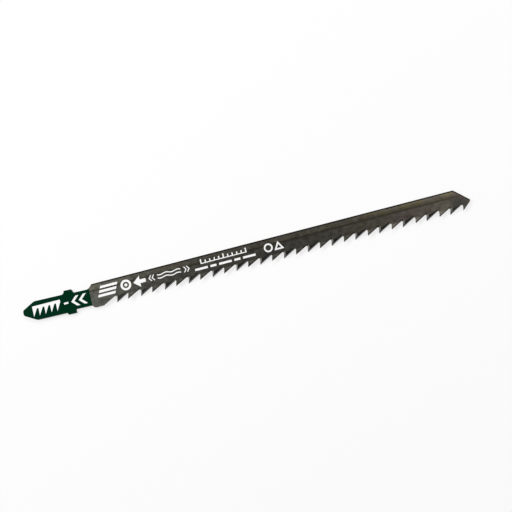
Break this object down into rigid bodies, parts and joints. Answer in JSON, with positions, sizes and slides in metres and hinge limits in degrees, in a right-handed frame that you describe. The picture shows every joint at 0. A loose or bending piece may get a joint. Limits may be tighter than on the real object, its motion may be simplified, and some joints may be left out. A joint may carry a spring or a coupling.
{
  "type": "jigsaw blade",
  "caption": "Long flat wood-cutting jigsaw blade with a bayonet shank, a straight spine, a slanted nose and coarse teeth set to alternate sides.",
  "frame": {"origin": "under the middle of the blade's outline, level with the tips of the teeth that are set downwards", "axes": "+X along the straight spine from the shank to the nose, +Y from the teeth towards the spine, +Z through the sheet, out of the marked side, which faces up"},
  "size_m": [0.1492, 0.008, 0.0018],
  "materials": {
    "tool_steel": "ground and tempered carbon tool steel, lightly oiled",
    "shank_enamel": "thin dark green enamel, dipped",
    "print_ink": "thin white print"
  },
  "bodies": {
    "root": {"jigsaw_blade": "tool_steel"}
  },
  "joints": []
}
